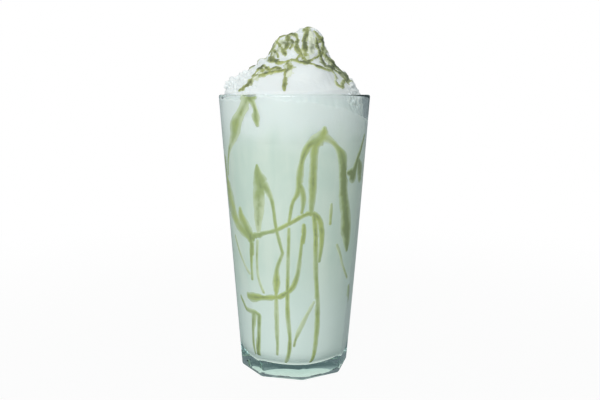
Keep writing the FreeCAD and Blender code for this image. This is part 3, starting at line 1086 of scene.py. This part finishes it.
# strength, then for each station the distance to the right, the height and the half width in millimetres
CREAM_TRAILS = [
    (0.45, [(-9.2, 30, 1.5), (-6.4, 29.5, 2.4), (-3.4, 30, 2.8), (-0.4, 29, 2)]),
    (0.42, [(-12.4, 22, 1.8), (-10, 24.4, 2), (-7.6, 27.4, 2)]),
    (0.3, [(9.4, 35.4, 1.4), (10, 30, 1.6), (9.8, 25, 1.6)]),
    (0.7, [(16.8, 27, 2), (18.6, 20.6, 2.4), (22.6, 16.4, 2.4), (26.8, 12.4, 2.4), (29.2, 8.4, 1.8)]),
    (0.45, [(-4, 18, 3), (-4.2, 14, 2.8), (-5, 10.2, 1.5)]),
    (0.45, [(-9.6, 14.2, 1.8), (-18, 12.6, 3), (-24.2, 9.2, 2)]),
    (0.35, [(4.6, 22.8, 2.6), (7.4, 19.8, 2.4)]),
    (1, [(7.8, 38.6, 1.6), (7.5, 37, 1.9), (6.4, 33.5, 1.1), (6, 30, 1.2), (6, 26.1, 1.3),
        (5.6, 22.5, 1.9), (6.6, 20, 2.3), (8.4, 19, 1)]),
    (1, [(11.6, 35.8, 0.9), (13.6, 33.6, 1.3), (15.8, 30.5, 1.6), (16.2, 27.5, 1.4), (16.3, 24.4, 1.7),
        (18, 21.8, 1.7), (19.6, 19.6, 1.3)]),
    (1.2, [(12.4, 32, 0.9), (13.2, 28.4, 1), (14.4, 24.2, 0.9), (15.8, 20.2, 1.2), (17, 17.2, 1.7),
        (19.8, 15.4, 1.8), (22.6, 16.2, 1.2)]),
    (1.25, [(19.6, 19.6, 1.4), (22.4, 18, 1.5), (25, 15.2, 1.6), (27.2, 12.8, 1.7), (29.4, 10.4, 2.4),
        (30.6, 8.2, 1.7)]),
    (1, [(21.4, 13.9, 1), (23.8, 11, 1.2), (24, 7.8, 0.8), (25.8, 5.2, 0.8), (27.6, 4.5, 0.9),
        (28.4, 7.6, 0.8), (29.4, 9.6, 1)]),
    (1, [(-10.2, 29.8, 0.9), (-8.8, 32.2, 1), (-6.6, 33.8, 1.2), (-3.6, 34.5, 1.4), (0, 33.8, 0.9),
        (1.8, 31.2, 0.9), (1.3, 27.6, 1), (3.2, 24.2, 1.2), (5.2, 22, 1.4)]),
    (1, [(-4, 34, 1.1), (-3.8, 31, 1.7), (-4.2, 28, 1.4), (-5.8, 25.6, 0.8)]),
    (1, [(-9.4, 30, 0.9), (-8, 27.4, 1), (-6.4, 25, 1.2), (-5, 23.2, 0.8)]),
    (1, [(-2, 31, 0.8), (-1, 28.8, 0.9), (-2.4, 26.4, 0.7)]),
    (1, [(-10.4, 29.2, 0.8), (-12.2, 26, 0.9), (-13.2, 23, 1), (-13.4, 20.9, 2.1),
        (-11.2, 19.1, 1.5), (-8, 18.4, 1), (-6, 18.6, 0.8)]),
    (1, [(-11.8, 25.2, 0.8), (-10, 23.6, 0.7), (-9.6, 21.4, 0.6)]),
    (1, [(-5.2, 18.8, 0.9), (-1.8, 19.8, 0.9), (3.4, 18.7, 0.8), (7.5, 18.4, 1.1), (10.7, 17.4, 0.9),
        (15.8, 15.4, 0.9), (18.8, 14.4, 1.1), (21.4, 13.7, 1)]),
    (1, [(1.2, 19.6, 0.7), (2.6, 22, 0.6), (5, 22.4, 0.8)]),
    (1, [(-4.2, 19.2, 1.1), (-4, 16.6, 2.2), (-4.2, 13.9, 2), (-5, 11.4, 0.9), (-5.4, 7.6, 0.8),
        (-5.9, 5, 0.9), (-5.9, 2.2, 0.5)]),
    (1, [(-4.9, 14.2, 1.2), (-8, 13.5, 0.9), (-10.4, 13.3, 0.8), (-14.2, 12.5, 1.4),
        (-18.4, 11.6, 2.2), (-21.5, 11, 1.3), (-24.6, 9, 1.2), (-26.7, 6, 1.2), (-29.8, 3.4, 1.1),
        (-32, 2.2, 0.8)]),
    (1, [(-14.6, 12.9, 1), (-11.6, 15.6, 0.8), (-8.6, 14.6, 0.8)]),
    (1, [(-18.4, 12.6, 1), (-18.8, 16, 1.1), (-16.8, 15.6, 0.8), (-14.4, 13.4, 0.9)]),
    (1, [(-24.8, 8.8, 1), (-22.4, 12.6, 0.7), (-20, 15, 0.7)]),
    (1, [(15.8, 30.4, 0.8), (13.6, 29.8, 0.7), (12.6, 27.2, 0.6)]),
    (1, [(16.3, 24.4, 0.8), (14.2, 22.6, 0.7), (12.4, 21.2, 0.6), (8.6, 19.2, 0.8)]),
    (1, [(18, 21.8, 0.8), (20.8, 20.6, 0.8), (22.8, 18.4, 0.9)]),
    (1.2, [(23.8, 17, 0.8), (22.8, 14.4, 0.8), (26, 12.4, 1.1), (28.8, 12.4, 1.2)]),
]


def drawn_on(tree, x, rise, side):
    """Where a line of sight through a place in the middle plane meets the cream."""
    eye = Vector((EYE.x, EYE.y * side, EYE.z))
    target = Vector((x * MM, 0.0, GLASS_HEIGHT + rise * MM))
    for shrink in AIM_SHRINKS:
        aim = Vector((target.x * shrink, 0.0, GLASS_HEIGHT + rise * MM * shrink))
        hit = tree.ray_cast(eye, (aim - eye).normalized())[0]
        if hit:
            return hit
    return None


def cream_samples(piece):
    """All drizzle on the cream as points on its surface."""
    tree = BVHTree.FromObject(piece, bpy.context.evaluated_depsgraph_get())
    rows = []
    for side in (1, -1):
        for strength, stations in CREAM_TRAILS:
            flat = [(x * MM, rise * MM, 0.0, width * DRIZZLE_WIDTH * MM) for x, rise, width in stations]
            for x, rise, _, half_width in spline(flat):
                spot = drawn_on(tree, x / MM * side, rise / MM, side)
                if spot:
                    rows.append((*spot, half_width, strength))
    return np.array(rows)


cream_route = trail_object("cream_trails", cream_samples(cream))
cream_sauce = add_object("cream_sauce", cream.data.copy())
cream_sauce.data.materials.clear()
finish = sauce_finish("pistachio_sauce_drizzle", DRIZZLE_TONES, deep_start=0.0, patchy=0.6)
layer = sauce_layer("drizzle", cream_route, CREAM_DOME, finish, unevenness=2.6, grain=260.0, finer=1)
layer.apply(cream_sauce)
close_layer(cream_sauce)
thin_out(cream)
for holder in (wall_route, cream_route):
    bpy.data.objects.remove(holder)

# %% [markdown]
# ## Which solid each piece stands for
# Every piece moves with the one body of the part, and the three solids give way to the pieces that were
# made from their sizes. The two layers of sauce replace nothing.

# %% Tie the pieces to the frame
for piece, node in ((tumbler, "glass"), (milkshake, "milkshake"), (cream, "whipped_cream")):
    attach(piece, "root")
    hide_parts(node)
for piece in (wall_sauce, cream_sauce):
    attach(piece, "root")

# %% [markdown]
# ## Studio
# The glass stands on a white floor before a white surround. White is only what the camera sees, and not an
# amount of light. Clear glass shows only what it mirrors and bends, so rays that come from the glass see
# something else: a ring of pale screens with dark gaps and a dim floor, which draw its edges and its thick
# base. Right under the glass that dim floor carries a paler disc of painted light, which lightens the base
# and the foot in the glass. What lights the drink is a third thing: a soft glow, brightest from above and
# weak from both sides, with three large lamps: the key from the left front, a weak fill from the left, and
# one behind for the back, which the glass doesn't show.

# %% World, floor and lamps
AMBIENT_SIDE = (0.370, 0.390, 0.382, 1.0)
AMBIENT_FLANK = (0.090, 0.110, 0.115, 1.0)
AMBIENT_TOP = (0.740, 0.770, 0.758, 1.0)
WHITE = (1.0, 1.0, 1.0, 1.0)
SCREEN = (0.48, 0.55, 0.54, 1.0)
SCREEN_GAP = (0.12, 0.165, 0.17, 1.0)
FLOOR_IN_GLASS = (0.145, 0.195, 0.210, 1.0)
SCREENS = 8
SCREEN_EDGES = (0.2, 1.0)
SCREEN_FOOT = (0.30, 0.55)
FLANK_EDGES = (0.45, 1.0)
FLANK_LEAN = 0.25
# a paler disc of painted light on the floor right under the glass, which only the glass shows
PAINTED_LIGHT_UNDER_GLASS = (0.34, 0.39, 0.38, 1.0)
UNDER_RADIUS = 18.0 * MM
UNDER_EDGE = 4 * MM
FADE_START = 0.10
FADE_END = 0.55
FLOOR_COLOUR = (0.55, 0.56, 0.56, 1.0)
FLOOR_REACH = 6.0
# share of the floor that glass sees dim, and share of it that the camera sees white, near and far
DIM_SHARE = 0.75
WHITE_NEAR, WHITE_FAR = 0.94, 1.0


def seen_in_glass(graph):
    """1 for rays that show the surround in a reflection or through glass."""
    path = graph.node("ShaderNodeLightPath", {}, {}, out="Is Glossy Ray")
    return path.highest(graph.other(path, "Is Transmission Ray"))


def seen_by_camera(graph):
    return graph.node("ShaderNodeLightPath", {}, {}, out="Is Camera Ray")


def set_world():
    world = bpy.data.worlds.new("studio")
    world.use_nodes = True
    bpy.context.scene.world = world
    graph = Graph(world.node_tree)
    across, along, height = graph.split(graph.node("ShaderNodeTexCoord", {}, {}, out="Generated"))
    turn = along.function("ARCTAN2", across) * SCREENS
    stripes = (0.5 - turn.function("COSINE") * 0.5).between(*SCREEN_EDGES)
    screens = stripes * height.between(*SCREEN_FOOT)
    flank = (across.function("ABSOLUTE") + across * FLANK_LEAN).between(*FLANK_EDGES)
    around = graph.blend(flank, AMBIENT_SIDE, AMBIENT_FLANK)
    ambient = graph.blend(height.between(0.0, 1.0), around, AMBIENT_TOP)
    light = graph.blend(seen_in_glass(graph), ambient, graph.blend(screens, SCREEN_GAP, SCREEN))
    light = graph.blend(seen_by_camera(graph), light, WHITE)
    graph.feed(world.node_tree.nodes["Background"].inputs["Color"], light)


def set_floor():
    finish = Material("studio_floor")
    finish.set(Base_Color=FLOOR_COLOUR, Roughness=0.9)
    across, along, _ = finish.split(finish.place())
    far = (across * across + along * along) ** 0.5
    away = far.between(FADE_START, FADE_END)
    shine = finish.node("ShaderNodeEmission", {}, {"Color": WHITE, "Strength": 1.0})
    # painted light: the floor that the glass sees is paler in a disc under the glass
    under = far.between(UNDER_RADIUS, UNDER_RADIUS + UNDER_EDGE)
    under = finish.blend(under, PAINTED_LIGHT_UNDER_GLASS, FLOOR_IN_GLASS)
    dim = finish.node("ShaderNodeEmission", {}, {"Color": under, "Strength": 1.0})
    surface = finish.mixed(seen_in_glass(finish) * DIM_SHARE, finish.solid, dim)
    direct = seen_by_camera(finish) * (WHITE_NEAR + away * (WHITE_FAR - WHITE_NEAR))
    finish.ends_in(Surface=finish.mixed(direct, surface, shine))
    corners = [(x * FLOOR_REACH, y * FLOOR_REACH, 0.0) for x, y in ((-1, -1), (1, -1), (1, 1), (-1, 1))]
    floor = new_piece("studio_ground", corners, [(0, 1, 2, 3)], finish.material)


def add_lamp(name, place, aim, size, watts, seen=True):
    lamp = bpy.data.lights.new(name, "AREA")
    lamp.shape = "DISK"
    lamp.size = size
    lamp.energy = watts
    holder = add_object(name, lamp)
    holder.location = place
    holder.rotation_euler = (Vector(aim) - Vector(place)).to_track_quat("-Z", "Y").to_euler()
    holder.visible_glossy = seen
    holder.visible_transmission = seen


set_world()
set_floor()
middle = (0.0, 0.0, GLASS_HEIGHT / 2)
add_lamp("key_lamp", (-0.36, -1.22, 0.62), middle, size=0.9, watts=9.4)
add_lamp("fill_lamp", (-1.2, -0.1, 0.7), middle, size=0.8, watts=0.8)
add_lamp("back_lamp", (0.25, 1.25, 0.7), middle, size=0.9, watts=6.5, seen=False)

# %% [markdown]
# ## Camera
# The glass is seen from less than half a metre away, from the height of its rim, looking down a little,
# so its foot looks narrower than it is and its rim shows as a line.

# %% Camera
SENSOR = 36.0
FOCAL_LENGTH = 44.7
TILT = math.radians(8.05)
YAW = math.radians(0.42)
camera = bpy.data.cameras.new("camera")
camera.sensor_width = SENSOR
camera.lens = FOCAL_LENGTH
camera.clip_start = 0.01
viewer = add_object("camera", camera)
viewer.location = EYE
viewer.rotation_euler = (math.pi / 2 - TILT, 0.0, -YAW)
bpy.context.scene.camera = viewer
bpy.context.scene.view_settings.view_transform = "Standard"
